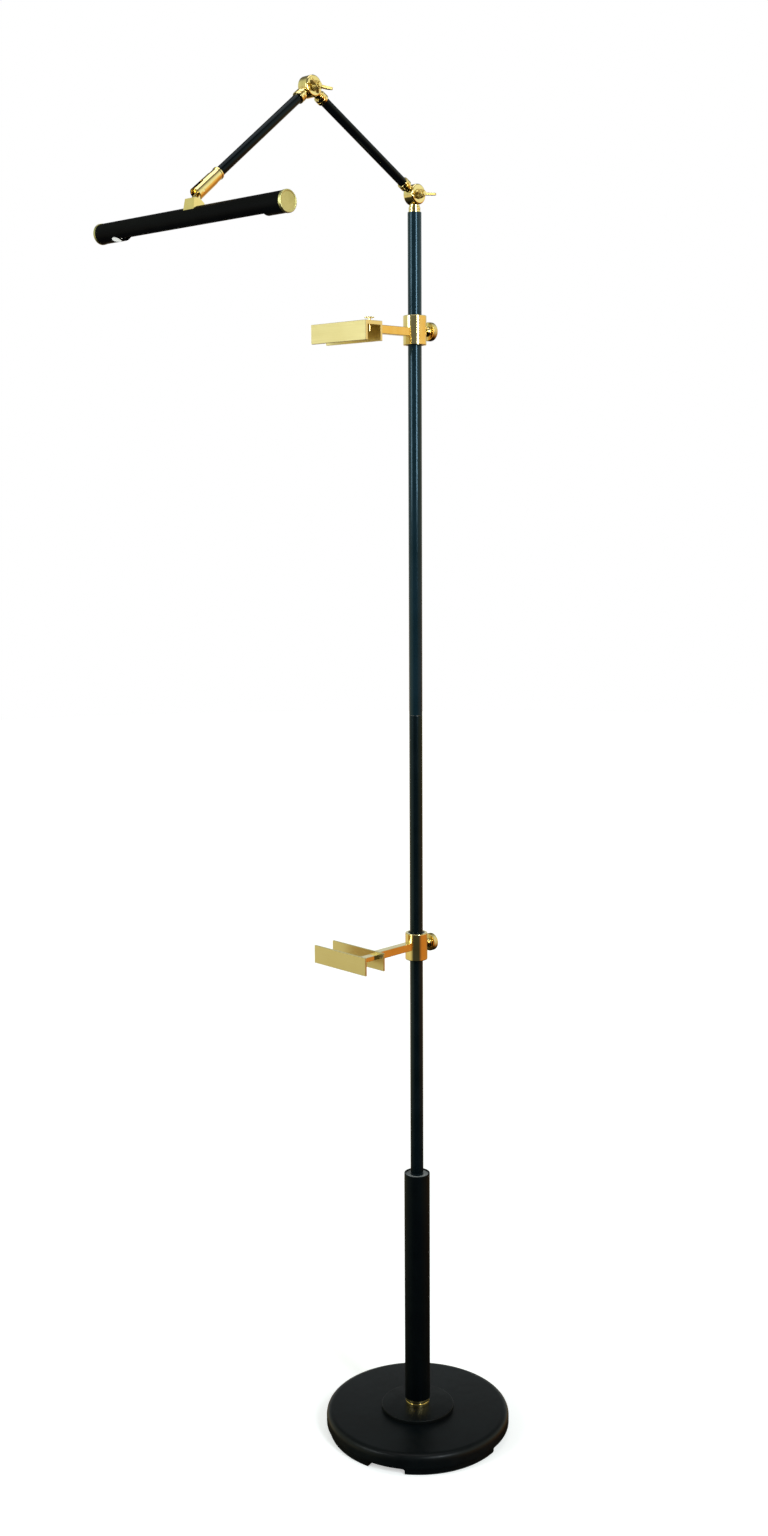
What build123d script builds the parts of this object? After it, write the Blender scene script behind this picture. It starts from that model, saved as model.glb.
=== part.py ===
"""Easel floor lamp: a weighted disc base, a tall stem with two sliding picture brackets, and a jointed picture light.

Frame: millimetres, +Z up. The origin is on the floor at the stem's axis. The two arms reach towards -Y,
the light bar and every knuckle axis lie along X, the wing nuts are on the +X side and the clamp knobs
face +Y.
"""

import os
from math import cos, radians, sin

from build123d import *

# ---- fits ----
FIT = 0.05
RUNNING = 0.06
SLIDING = 0.1

# ---- base ----
FELT_T = 1.2
BASE_R = 146.0
BASE_TOP = 34.0
BASE_EDGE_R = 9.0
FOOT_R = 142.0
FOOT_TOP = 11.0
RECESS_R = 88.0
RECESS_TOP = 19.0
NOTCH_IN_R = 116.0
NOTCH_TOP = 9.0
NOTCH_ARC = 25.0
NOTCH_FIRST = 23.0
NOTCH_COUNT = 4
CORD_NOTCH = 113.0
CORD_SLOT_W = 12.0
CORD_SLOT_TOP = 9.0
CORD_HOLE_R = 2.6
DISC_R = 57.5
DISC_TOP = 40.0
ROD_R = 5.0
ROD_BORE_R = 3.0
ROD_LOW = 4.0
ROD_HIGH = 70.0
WASHER_R = 14.0
WASHER_T = 2.5
NUT_FLATS = 17.0
NUT_T = 8.0

# ---- column and stem ----
COLLAR_R = 19.0
COLLAR_TOP = 52.0
COLUMN_R = 20.0
COLUMN_WALL = 1.5
COLUMN_TOP = 429.0
SOCKET_TOP = 104.0
BUSH_T = 10.0
BUSH_SINK = 2.0
STEM_R = 10.0
STEM_WALL = 1.5
STEM_LOW = 60.0
STEM_SEAM = 1153.0
STEM_TOP = 1879.6
SEAM_GAP = 0.4
COUPLER_LEN = 80.0

# ---- knuckles ----
HUB_R = 14.25
HUB_T = 9.3
HUB_GAP = 0.1
HUB_ROUND = 2.4
HUB_CLEAR_R = 14.75
NECK_R = 6.0
NECK_END = 19.0
FERRULE_R = 8.5
FERRULE_LEN = 9.5
SPIGOT_R = 5.4
SPIGOT_END = 44.0
BOLT_R = 3.0
BOLT_HEAD_R = 5.6
BOLT_HEAD_T = 3.0
BOLT_TIP = 20.5
KNUCKLE_WASHER_R = 7.5
KNUCKLE_WASHER_T = 1.0
WING_HUB_R = 6.8
WING_HUB_LEN = 8.0
WING_T = 3.6
WING_OUTLINE = [(3.5, 1.0), (9.0, 2.0), (16.0, 6.5), (20.8, 12.0), (19.0, 14.6), (14.0, 11.6), (5.0, 7.4)]
WING_ROUND = 1.1

# ---- arms ----
SHOULDER_Z = 1904.0
ARM_R = 6.5
ARM_WALL = 1.0
ARM_1_RISE = 29.9
ARM_1_LEN = 233.0
ARM_2_FALL = 38.8
ARM_2_TUBE_END = 219.0
ELBOW_WING_TURN = -10.0
SWIVEL_R = 5.0
SWIVEL_FLANGE_R = 7.6
STEM_COLLAR_TOP = 1886.8
STEM_COLLAR_LOW = 1855.0
SWIVEL_END = 1850.0
RETAINER_R = 7.4
RETAINER_T = 1.6

# ---- head sleeve ----
SLEEVE_TOP = 207.0
SLEEVE_STEP = 221.0
SLEEVE_END = 257.5
SLEEVE_BEAD_LEN = 2.6
SLEEVE_BEAD_R = 8.6
SLEEVE_COLLAR_R = 8.0
SLEEVE_THIN_R = 8.5
SLEEVE_R = 9.0
SLEEVE_BORE_R = 7.25
SLEEVE_SHELF = 219.3
PLUG_FLANGE_R = 6.95
PLUG_FLANGE_T = 2.6
HEAD_PIVOT = 249.0
HEAD_PIN_R = 2.0
SLOT_W = 8.2
SLOT_TOP = 240.0
EYE_R = 5.0
EYE_W = 7.4
ROD_NECK_R = 3.4

# ---- light bar ----
BAR_Y = -405.0
BAR_Z = 1830.4
BAR_R = 13.4
BAR_WALL = 1.2
BAR_FAR = -199.0
BAR_NEAR = 178.0
CAP_R = 13.9
CAP_T = 4.0
CAP_PLUG = 8.0
WINDOW_FAR = -148.5
WINDOW_NEAR = 140.5
WINDOW_HALF_DEG = 46.0
WINDOW_ROLL = 10.0
REFLECTOR_R = 12.0
REFLECTOR_T = 0.6
REFLECTOR_OPEN_DEG = 56.0
REFLECTOR_OVERLAP = 1.0
HOLDER_R = 8.8
HOLDER_LEN = 32.0
HOLDER_FAR = -148.0
HOLDER_BORE_R = 7.2
HOLDER_BORE_DEPTH = 20.0
BULB_R = 8.0
BULB_CAP_R = 6.8
BULB_CAP_LEN = 18.0
BULB_LEN = 84.0
BLOCK_X = 22.0
BLOCK_Y = 21.0
BLOCK_TOP_X = 18.5
BLOCK_TOP_Y = 15.0
BLOCK_TOP_Z = 1853.7
BLOCK_LOW_Z = 1836.0
BLOCK_FACET = 12.7
BLOCK_SCREW_X = 6.4
BLOCK_SCREW_R = 1.5
BLOCK_SCREW_HEAD_R = 2.7
SWITCH_X = -158.8
SWITCH_DEG = 22.0
SWITCH_LEN = 16.0
SWITCH_W = 11.5
SWITCH_TOP_R = 12.9
SWITCH_ROCKER_T = 4.2
SWITCH_BODY_LEN = 19.0
SWITCH_BODY_W = 13.0
SWITCH_BODY_DEPTH = 12.0
SWITCH_GAP = 0.8

# ---- clamps and brackets ----
RING_R = 17.0
RING_H = 42.0
RING_ROUND = 1.2
LINER_R = 12.8
LINER_BORE_R = 10.12
LINER_H = 41.0
ARM_BAR_W = 12.0
ARM_BAR_H = 12.0
PLATE_T = 3.0
PLATE_H = 27.4
CHANNEL_WALL = 4.0
CHANNEL_WEB = 5.5
UPPER_Z = 1714.7
UPPER_ARM_Z = 1712.0
UPPER_LEFT = -96.0
UPPER_RIGHT = 16.0
UPPER_REAR = -86.5
UPPER_FRONT = -116.0
UPPER_CHANNEL_TOP = 1722.0
LOWER_Z = 796.4
LOWER_ARM_Z = 798.0
LOWER_LEFT = -94.0
LOWER_RIGHT = 16.0
LOWER_REAR = -88.0
LOWER_FRONT = -126.0
LOWER_PLATE_TOP = 804.0
SHELF_TOP = 800.5
SHELF_H = 7.0
KNOB_R = 13.5
KNOB_NEAR = 26.5
KNOB_T = 8.5
KNOB_FLUTES = 26
KNOB_FLUTE_R = 1.0
KNOB_NECK_R = 6.0
KNOB_SHANK_R = 3.0
ARM_SCREW_R = 2.0
ARM_SCREW_HEAD_R = 3.8
ARM_SCREW_HEAD_T = 2.2
THUMB_X = 6.5
THUMB_R = 6.9
THUMB_T = 1.7
THUMB_SHANK_R = 2.0
THUMB_FLUTES = 24
THUMB_LOW = 1707.0
THUMB_HEAD_Z = 1725.5


# ---- helpers ----
def disc_between(low, high, radius, bore=0.0):
    """A cylinder, or a ring, standing on +Z between two heights."""
    body = Pos(0, 0, (low + high) / 2) * Cylinder(radius, high - low)
    if bore:
        body -= Pos(0, 0, (low + high) / 2) * Cylinder(bore, high - low + 2)
    return body


def rod_x(start, end, radius):
    """A cylinder along X between two stations."""
    return Pos((start + end) / 2, 0, 0) * Rot(0, 90, 0) * Cylinder(radius, end - start)


def rod_y(start, end, radius):
    """A cylinder along Y between two stations."""
    return Pos(0, (start + end) / 2, 0) * Rot(90, 0, 0) * Cylinder(radius, abs(end - start))


def block_between(low, high):
    """A box between two opposite corners."""
    centre = [(a + b) / 2 for a, b in zip(low, high)]
    size = [b - a for a, b in zip(low, high)]
    return Pos(*centre) * Box(*size)


def polar_copies(shape, count):
    """Equally spaced copies of a shape about the Z axis."""
    return [Rot(0, 0, 360.0 * i / count) * shape for i in range(count)]


def arm_frame(origin, elevation):
    """Frame at a pivot whose +Z runs along an arm that leaves towards -Y, and whose +X is the hinge axis."""
    rise = radians(elevation)
    return Plane(origin=origin, x_dir=(1, 0, 0), z_dir=(0, -cos(rise), sin(rise)))


SHOULDER = (0, 0, SHOULDER_Z)
ARM_1 = arm_frame(SHOULDER, ARM_1_RISE)
ELBOW = tuple(ARM_1.from_local_coords((0, 0, ARM_1_LEN)))
ARM_1_BACK = Plane(origin=ELBOW, x_dir=(1, 0, 0), z_dir=-ARM_1.z_dir)
ARM_2 = arm_frame(ELBOW, -ARM_2_FALL)
HEAD = tuple(ARM_2.from_local_coords((0, 0, HEAD_PIVOT)))


# ---- base ----
def notch_cutter(inner, outer, top, centre):
    """Wedge that opens one notch in the foot ring."""
    half = NOTCH_ARC / 2
    edge = [(r * cos(radians(a)), r * sin(radians(a))) for r, a in ((inner, -half), (outer, -half))]
    far = [(r * cos(radians(a)), r * sin(radians(a))) for r, a in ((outer, half), (inner, half))]
    wedge = extrude(make_face(Polyline(*edge, *far, close=True)), top + 1)
    return Rot(0, 0, centre) * Pos(0, 0, -1) * wedge


def cord_slot():
    """Channel from the underside recess to the rear notch, where the cord leaves."""
    length = NOTCH_IN_R + 6 - RECESS_R + 6
    centre = RECESS_R - 6 + length / 2
    slot = Pos(centre, 0, CORD_SLOT_TOP / 2 - 0.5) * Box(length, CORD_SLOT_W, CORD_SLOT_TOP + 1)
    return Rot(0, 0, CORD_NOTCH) * slot


def base_casting():
    body = disc_between(FOOT_TOP, BASE_TOP, BASE_R)
    body = fillet(body.edges().sort_by(Axis.Z)[-1], BASE_EDGE_R)
    foot = disc_between(FELT_T, FOOT_TOP, FOOT_R)
    body = body + foot - disc_between(-1, RECESS_TOP, RECESS_R)
    for i in range(NOTCH_COUNT):
        body -= notch_cutter(NOTCH_IN_R, BASE_R + 10, NOTCH_TOP, NOTCH_FIRST + i * 360 / NOTCH_COUNT)
    body -= cord_slot()
    return body - disc_between(0, BASE_TOP + 1, ROD_R + 0.3)


def felt_pad():
    pad = disc_between(0, FELT_T, FOOT_R - 1.0, RECESS_R + 1.0)
    for i in range(NOTCH_COUNT):
        pad -= notch_cutter(NOTCH_IN_R - 1, BASE_R + 10, NOTCH_TOP, NOTCH_FIRST + i * 360 / NOTCH_COUNT)
    return pad - cord_slot()


def cord_grommet():
    """Flanged rubber bush that fills the channel where the cord leaves the base."""
    middle = CORD_SLOT_TOP / 2 + FELT_T / 2
    height = CORD_SLOT_TOP - FELT_T - 2 * FIT
    body = Pos(NOTCH_IN_R - 5, 0, middle) * Box(14, CORD_SLOT_W - 2 * FIT, height)
    hole = Pos(NOTCH_IN_R - 5, 0, middle) * Rot(0, 90, 0) * Cylinder(CORD_HOLE_R, 30)
    return Rot(0, 0, CORD_NOTCH) * (body - hole)


def raised_disc():
    disc = disc_between(BASE_TOP, DISC_TOP, DISC_R, ROD_R + 0.3)
    return fillet(disc.edges().filter_by(GeomType.CIRCLE).sort_by(SortBy.RADIUS)[-2:].sort_by(Axis.Z)[-1], 1.0)


def base_rod():
    return disc_between(ROD_LOW, ROD_HIGH, ROD_R, ROD_BORE_R)


def base_washer():
    return disc_between(RECESS_TOP - WASHER_T, RECESS_TOP, WASHER_R, ROD_R + FIT)


def base_nut():
    top = RECESS_TOP - WASHER_T
    nut = Pos(0, 0, top - NUT_T) * extrude(RegularPolygon(NUT_FLATS / 2, 6, major_radius=False), NUT_T)
    return nut - disc_between(0, BASE_TOP, ROD_R + FIT)


# ---- column and stem ----
def base_collar():
    ring = disc_between(DISC_TOP, COLLAR_TOP, COLLAR_R, COLLAR_R - 3)
    groove = disc_between(DISC_TOP + 6, DISC_TOP + 7.2, COLLAR_R + 1, COLLAR_R - 0.7)
    return ring - groove


def column_tube():
    return disc_between(COLLAR_TOP, COLUMN_TOP, COLUMN_R, COLUMN_R - COLUMN_WALL)


def column_top_bush():
    top = COLUMN_TOP - BUSH_SINK
    return disc_between(top - BUSH_T, top, COLUMN_R - COLUMN_WALL - FIT, STEM_R + FIT)


def stem_socket():
    plug = disc_between(COLLAR_TOP + FIT, SOCKET_TOP, COLUMN_R - COLUMN_WALL - FIT, ROD_R + FIT)
    return plug - disc_between(STEM_LOW, SOCKET_TOP + 1, STEM_R + FIT)


def stem_lower_tube():
    return disc_between(STEM_LOW + FIT, STEM_SEAM - SEAM_GAP, STEM_R, STEM_R - STEM_WALL)


def stem_upper_tube():
    return disc_between(STEM_SEAM, STEM_TOP, STEM_R, STEM_R - STEM_WALL)


def stem_coupler():
    half = COUPLER_LEN / 2
    return disc_between(STEM_SEAM - half, STEM_SEAM + half, STEM_R - STEM_WALL - FIT, STEM_R - 3.5)


def stem_top_collar():
    """Bearing for the head: a flanged bush let into the stem's open end."""
    ring = disc_between(STEM_TOP, STEM_COLLAR_TOP, FERRULE_R)
    ring -= disc_between(STEM_TOP + 2.6, STEM_TOP + 3.6, FERRULE_R + 1, FERRULE_R - 0.7)
    insert = disc_between(STEM_COLLAR_LOW, STEM_TOP, STEM_R - STEM_WALL - FIT)
    return ring + insert - disc_between(STEM_COLLAR_LOW - 1, STEM_COLLAR_TOP + 1, SWIVEL_R + RUNNING)


# ---- knuckles ----
def knuckle_hub(side):
    """Half of a knuckle at the origin: a rounded disc on one side of the arm's middle plane."""
    hub = rod_x(HUB_GAP, HUB_GAP + HUB_T, HUB_R)
    hub = fillet(hub.edges().sort_by(Axis.X)[-1], HUB_ROUND)
    return hub if side > 0 else mirror(hub, Plane.YZ)


def knuckle_neck(side, end):
    """Short round neck on the arm's axis, cleared where the other half of the knuckle turns."""
    neck = disc_between(8, end, NECK_R)
    other = rod_x(-HUB_T - 4, HUB_GAP, HUB_CLEAR_R)
    bolt_way = rod_x(-HUB_T, HUB_T, BOLT_R + 3)
    return neck - (other if side > 0 else mirror(other, Plane.YZ)) - bolt_way


def knuckle_half(side, bore):
    """Knuckle half with its neck and the spigot that holds the ferrule and the arm tube."""
    body = knuckle_hub(side) + knuckle_neck(side, NECK_END)
    body += disc_between(NECK_END, SPIGOT_END, SPIGOT_R)
    return body - rod_x(-20, 20, bore)


def ferrule():
    ring = disc_between(NECK_END + FIT, NECK_END + FERRULE_LEN, FERRULE_R, SPIGOT_R + FIT)
    groove = disc_between(NECK_END + 4.2, NECK_END + 5.4, FERRULE_R + 1, FERRULE_R - 0.8)
    return ring - groove


def knuckle_bolt():
    head = rod_x(-HUB_GAP - HUB_T - BOLT_HEAD_T, -HUB_GAP - HUB_T, BOLT_HEAD_R)
    head = fillet(head.edges().sort_by(Axis.X)[0], 1.4)
    return head + rod_x(-HUB_GAP - HUB_T, BOLT_TIP, BOLT_R)


def knuckle_washer():
    start = HUB_GAP + HUB_T + FIT
    return rod_x(start, start + KNUCKLE_WASHER_T, KNUCKLE_WASHER_R) - rod_x(0, 30, BOLT_R + FIT)


def wing_nut(turn):
    """Wing nut on the bolt's free end: a tapered hub with two flat ears that lean outwards."""
    start = HUB_GAP + HUB_T + KNUCKLE_WASHER_T + 2 * FIT + 0.1
    hub = Pos(start + WING_HUB_LEN / 2, 0, 0) * Rot(0, 90, 0) * Cone(WING_HUB_R, 4.6, WING_HUB_LEN)
    ear_face = make_face(Polyline(*[(start + out, reach) for reach, out in WING_OUTLINE], close=True))
    ear = Pos(0, 0, -WING_T / 2) * extrude(ear_face, WING_T)
    ear = fillet(ear.edges().filter_by(Axis.Z).sort_by(Axis.Y)[-4:], WING_ROUND)
    nut = hub + ear + mirror(ear, Plane.XZ)
    return Rot(turn, 0, 0) * (nut - rod_x(0, 40, BOLT_R + RUNNING))


# ---- shoulder and arms ----
def shoulder_lower_half():
    """Lower knuckle half, which stands on the stem's collar and turns in it on a long spigot."""
    body = Pos(*SHOULDER) * (knuckle_hub(-1) + Rot(0, 180, 0) * knuckle_neck(1, HUB_CLEAR_R))
    flange = disc_between(STEM_COLLAR_TOP + 0.2, SHOULDER_Z - HUB_CLEAR_R, SWIVEL_FLANGE_R)
    body += flange + disc_between(SWIVEL_END, SHOULDER_Z - HUB_CLEAR_R, SWIVEL_R)
    body -= Pos(*SHOULDER) * rod_x(-20, 20, BOLT_R + FIT)
    return body


def swivel_retainer():
    """Snap ring under the collar, which keeps the head from lifting out of the stem."""
    top = STEM_COLLAR_LOW - 0.3
    return disc_between(top - RETAINER_T, top, RETAINER_R, SWIVEL_R + FIT)


def arm_tube(start, end):
    return disc_between(start, end, ARM_R, ARM_R - ARM_WALL)


def arm_2_end_plug():
    """Shouldered plug in the arm's end, on which the head sleeve turns."""
    flange = disc_between(SLEEVE_SHELF + 0.3, SLEEVE_SHELF + 0.3 + PLUG_FLANGE_T, PLUG_FLANGE_R)
    return flange + disc_between(ARM_2_TUBE_END - 16, SLEEVE_SHELF + 0.3, SPIGOT_R)


def head_sleeve():
    """Beaded collar and a wider sleeve with a deep open end, slotted on two sides so that the neck can tilt in it."""
    flare_len = SLEEVE_END - SLEEVE_STEP
    body = disc_between(SLEEVE_TOP, SLEEVE_STEP, SLEEVE_COLLAR_R)
    body += disc_between(SLEEVE_TOP, SLEEVE_TOP + SLEEVE_BEAD_LEN, SLEEVE_BEAD_R)
    body += Pos(0, 0, SLEEVE_STEP + flare_len / 2) * Cone(SLEEVE_THIN_R, SLEEVE_R, flare_len)
    rim = body.edges().filter_by(GeomType.CIRCLE).sort_by(Axis.Z)
    body = chamfer([rim[0], rim[-1]], 0.6)
    body -= disc_between(SLEEVE_TOP - 1, SLEEVE_SHELF, ARM_R + RUNNING)
    body -= disc_between(SLEEVE_SHELF, SLEEVE_END + 1, SLEEVE_BORE_R)
    slot_len = SLEEVE_END + 2 - SLOT_TOP
    body -= Pos(0, 0, SLOT_TOP + slot_len / 2) * Box(SLOT_W, 3 * SLEEVE_R, slot_len)
    body -= Pos(0, 0, SLOT_TOP) * rod_y(-2 * SLEEVE_R, 2 * SLEEVE_R, SLOT_W / 2)
    return body - Pos(0, 0, HEAD_PIVOT) * rod_x(-20, 20, HEAD_PIN_R + FIT)


def head_pivot_pin():
    return Pos(0, 0, HEAD_PIVOT) * rod_x(-SLEEVE_R + 0.4, SLEEVE_R - 0.4, HEAD_PIN_R)


# ---- light bar ----
def neck_frame():
    """Frame at the head pivot whose +Z runs down the neck to the middle of the block's facet."""
    down = Vector(0, BAR_Y, BLOCK_TOP_Z) - Vector(*HEAD)
    return Plane(origin=HEAD, x_dir=(1, 0, 0), z_dir=down)


NECK = neck_frame()
BAR_CENTRE = Pos(0, BAR_Y, BAR_Z)


def neck_rod(radius, start, end):
    return NECK.location * disc_between(start, end, radius)


def head_neck():
    """Neck of the light: a pierced eye on the pivot pin and a rod let into the block."""
    eye = Pos(*HEAD) * rod_x(-EYE_W / 2, EYE_W / 2, EYE_R)
    body = eye + neck_rod(ROD_NECK_R, 0, BLOCK_FACET + 8)
    return body - Pos(*HEAD) * rod_x(-20, 20, HEAD_PIN_R + RUNNING)


def bar_block():
    """Tapered saddle block on the bar, with a slanted facet square to the neck."""
    low = Pos(0, BAR_Y, BLOCK_LOW_Z) * Rectangle(BLOCK_X, BLOCK_Y)
    high = Pos(0, BAR_Y, BLOCK_TOP_Z) * Rectangle(BLOCK_TOP_X, BLOCK_TOP_Y)
    body = loft([low, high])
    body -= NECK.location * Pos(0, 0, BLOCK_FACET - 20) * Box(60, 60, 40)
    body -= BAR_CENTRE * rod_x(-60, 60, BAR_R + FIT)
    body -= neck_rod(ROD_NECK_R + FIT, 0, BLOCK_FACET + 8.2)
    for side in (-1, 1):
        body -= Pos(side * BLOCK_SCREW_X, BAR_Y, 0) * disc_between(BAR_Z, BLOCK_TOP_Z - 3, BLOCK_SCREW_R + FIT)
    return body


def block_screws():
    """Two screws that hold the block from inside the bar."""
    seat = BAR_Z + BAR_R - BAR_WALL - 0.6
    one = disc_between(seat - 1.6, seat, BLOCK_SCREW_HEAD_R) + disc_between(seat, BLOCK_TOP_Z - 3.2, BLOCK_SCREW_R)
    return [Pos(side * BLOCK_SCREW_X, BAR_Y, 0) * one for side in (-1, 1)]


def switch_frame():
    """Frame on the bar's axis at the switch, whose +Z points out through the switch."""
    lean = radians(SWITCH_DEG)
    return Plane(origin=(SWITCH_X, BAR_Y, BAR_Z), x_dir=(1, 0, 0), z_dir=(0, -sin(lean), -cos(lean)))


SWITCH = switch_frame()


def oval(length, width, low, high):
    """A prism with an elliptical outline about the local Z axis."""
    return Pos(0, 0, low) * extrude(Ellipse(length / 2, width / 2), high - low)


def window_cutter():
    """Block that mills the window across the tube, turned a little towards the stem."""
    depth = -BAR_R * cos(radians(WINDOW_HALF_DEG))
    block = block_between((WINDOW_FAR, -2 * BAR_R, -2 * BAR_R), (WINDOW_NEAR, 2 * BAR_R, depth))
    return Rot(WINDOW_ROLL, 0, 0) * block


def bar_tube():
    """Round tube, open along its underside and pierced for the switch and the block screws."""
    tube = rod_x(BAR_FAR + CAP_T, BAR_NEAR - CAP_T, BAR_R)
    tube -= rod_x(BAR_FAR, BAR_NEAR, BAR_R - BAR_WALL)
    tube -= window_cutter()
    for side in (-1, 1):
        tube -= Pos(side * BLOCK_SCREW_X, 0, 0) * disc_between(0, BAR_R + 2, BLOCK_SCREW_R + FIT)
    tube = BAR_CENTRE * tube
    opening = SWITCH.location * oval(SWITCH_LEN + 2 * SWITCH_GAP, SWITCH_W + 2 * SWITCH_GAP, 4, BAR_R + 4)
    return tube - opening


def end_cap(station, outward):
    """Turned cap with a plug inside the tube and fine raised rings on its face."""
    cap = rod_x(0, CAP_T, CAP_R)
    cap = chamfer(cap.edges().sort_by(Axis.X)[-1], 0.7)
    cap -= rod_x(CAP_T - 0.5, CAP_T + 1, CAP_R - 2.0)
    cap += rod_x(-CAP_PLUG, 0, BAR_R - BAR_WALL - FIT)
    cap -= rod_x(-CAP_PLUG - 1, -1.5, BAR_R - BAR_WALL - 2.0)
    if outward < 0:
        cap = mirror(cap, Plane.YZ)
    return Pos(station, BAR_Y, BAR_Z) * cap


def reflector():
    """White half-round trough behind the bulbs."""
    low = WINDOW_FAR - REFLECTOR_OVERLAP
    high = WINDOW_NEAR + REFLECTOR_OVERLAP
    trough = rod_x(low, high, REFLECTOR_R) - rod_x(low - 1, high + 1, REFLECTOR_R - REFLECTOR_T)
    half = REFLECTOR_R * sin(radians(REFLECTOR_OPEN_DEG))
    trough -= Rot(WINDOW_ROLL, 0, 0) * block_between((low - 1, -half, -2 * REFLECTOR_R), (high + 1, half, 0))
    for side in (-1, 1):
        trough -= Pos(side * BLOCK_SCREW_X, 0, 0) * disc_between(0, BAR_R, BLOCK_SCREW_HEAD_R + 0.3)
    return BAR_CENTRE * trough


def lampholder(station, facing):
    """Round lampholder, open towards the middle of the bar."""
    body = rod_x(0, HOLDER_LEN, HOLDER_R)
    body = chamfer(body.edges().sort_by(Axis.X)[-1], 1.0)
    body -= rod_x(HOLDER_LEN - HOLDER_BORE_DEPTH, HOLDER_LEN + 1, HOLDER_BORE_R)
    if facing < 0:
        body = mirror(body, Plane.YZ)
    return Pos(station, BAR_Y, BAR_Z) * body


def tubular_bulb(station, facing):
    """Slim tubular bulb with a small screw cap."""
    glass = rod_x(0.5, BULB_LEN, BULB_R)
    glass = fillet(glass.edges().sort_by(Axis.X)[-1], 6.0)
    glass = fillet(glass.edges().sort_by(Axis.X)[0], 2.0)
    body = glass + rod_x(-BULB_CAP_LEN, 1, BULB_CAP_R)
    if facing < 0:
        body = mirror(body, Plane.YZ)
    return Pos(station, BAR_Y, BAR_Z) * body


HOLDER_NEAR = WINDOW_FAR + WINDOW_NEAR - HOLDER_FAR


def lampholders():
    return [lampholder(HOLDER_FAR, 1), lampholder(HOLDER_NEAR, -1)]


def tubular_bulbs():
    return [tubular_bulb(HOLDER_FAR + HOLDER_LEN, 1), tubular_bulb(HOLDER_NEAR - HOLDER_LEN, -1)]


def switch_body():
    """Switch case inside the bar, hollow under the rocker."""
    top = SWITCH_TOP_R - SWITCH_ROCKER_T - 1.6
    low = top - SWITCH_BODY_DEPTH
    case = Pos(0, 0, (low + top) / 2) * Box(SWITCH_BODY_LEN, SWITCH_BODY_W, SWITCH_BODY_DEPTH)
    room = rod_x(-SWITCH_BODY_LEN, SWITCH_BODY_LEN, BAR_R - BAR_WALL - 0.2)
    post = Pos(0, 0, top + 0.4) * rod_y(-1.0, 1.0, 0.9)
    return SWITCH.location * ((case & room) + post)


def switch_rocker():
    """Oval rocker that tips end to end about a cross axis."""
    low = SWITCH_TOP_R - SWITCH_ROCKER_T
    body = oval(SWITCH_LEN, SWITCH_W, low, SWITCH_TOP_R)
    body = fillet(body.edges().sort_by(Axis.Z)[-1], 0.9)
    crown = Pos(0, 0, SWITCH_TOP_R + 62) * Rot(90, 0, 0) * Cylinder(62.9, 40)
    return SWITCH.location * (body - crown)


# ---- clamps and brackets ----
def clamp_ring(centre):
    """Ring round the stem, bored for its liner and for the clamp screw at the back."""
    ring = disc_between(centre - RING_H / 2, centre + RING_H / 2, RING_R)
    ring = fillet(ring.edges().filter_by(GeomType.CIRCLE), RING_ROUND)
    ring -= disc_between(centre - RING_H, centre + RING_H, LINER_R + SLIDING)
    return ring - Pos(0, 0, centre) * rod_y(0, RING_R + 4, KNOB_SHANK_R + RUNNING)


def with_arm_screw_hole(ring, arm_z):
    """Adds the countersunk hole through which the arm bar is screwed on from inside the ring."""
    hole = Pos(0, 0, arm_z) * rod_y(-RING_R - 2, 0, ARM_SCREW_R + FIT)
    sink = Pos(0, 0, arm_z) * rod_y(-LINER_R - ARM_SCREW_HEAD_T, 0, ARM_SCREW_HEAD_R + FIT)
    return ring - hole - sink


def liner(centre):
    """Thin sleeve that slides on the stem and keeps the ring off its lacquer."""
    return disc_between(centre - LINER_H / 2, centre + LINER_H / 2, LINER_R, LINER_BORE_R)


def arm_bar(arm_z, end):
    """Flat bar from the ring to the bracket's rear plate."""
    half_w = ARM_BAR_W / 2
    half_h = ARM_BAR_H / 2
    bar = block_between((-half_w, end, arm_z - half_h), (half_w, -RING_R + 3, arm_z + half_h))
    bar = chamfer(bar.edges().filter_by(Axis.Y), 0.5)
    bar -= disc_between(arm_z - 20, arm_z + 20, RING_R + FIT)
    return bar - Pos(0, 0, arm_z) * rod_y(-RING_R - 13, 0, ARM_SCREW_R + FIT)


def arm_screw(arm_z):
    """Screw from inside the ring into the arm bar."""
    shank = rod_y(-RING_R - 12, -LINER_R - 1, ARM_SCREW_R)
    head = rod_y(-LINER_R - ARM_SCREW_HEAD_T + FIT, -LINER_R - 0.4, ARM_SCREW_HEAD_R)
    return Pos(0, 0, arm_z) * (shank + head)


def fluted(radius, length, count, flute_r):
    """A short cylinder along +Z with flutes round its rim."""
    body = disc_between(0, length, radius)
    body = chamfer(body.edges().filter_by(GeomType.CIRCLE), 0.5)
    flute = Pos(radius + 0.35 * flute_r, 0, length / 2) * Cylinder(flute_r, length + 2)
    for cut in polar_copies(flute, count):
        body -= cut
    return body


def clamp_knob(centre):
    """Knurled knob with a neck and the screw that presses on the liner."""
    knob = fluted(KNOB_R, KNOB_T, KNOB_FLUTES, KNOB_FLUTE_R)
    knob = Pos(0, KNOB_NEAR, 0) * Rot(-90, 0, 0) * knob
    knob -= rod_y(KNOB_NEAR + KNOB_T - 0.8, KNOB_NEAR + KNOB_T + 1, KNOB_R - 3.5)
    neck = rod_y(RING_R + 0.4, KNOB_NEAR + 1, KNOB_NECK_R)
    shank = rod_y(LINER_R + 0.35, RING_R + 2, KNOB_SHANK_R)
    return Pos(0, 0, centre) * (knob + neck + shank)


def lower_plate(front):
    """Upright plate of the lower bracket with its front face at the given Y."""
    low = (LOWER_LEFT, front, LOWER_PLATE_TOP - PLATE_H)
    body = block_between(low, (LOWER_RIGHT, front + PLATE_T, LOWER_PLATE_TOP))
    return chamfer(body.edges(), 0.25)


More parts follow.
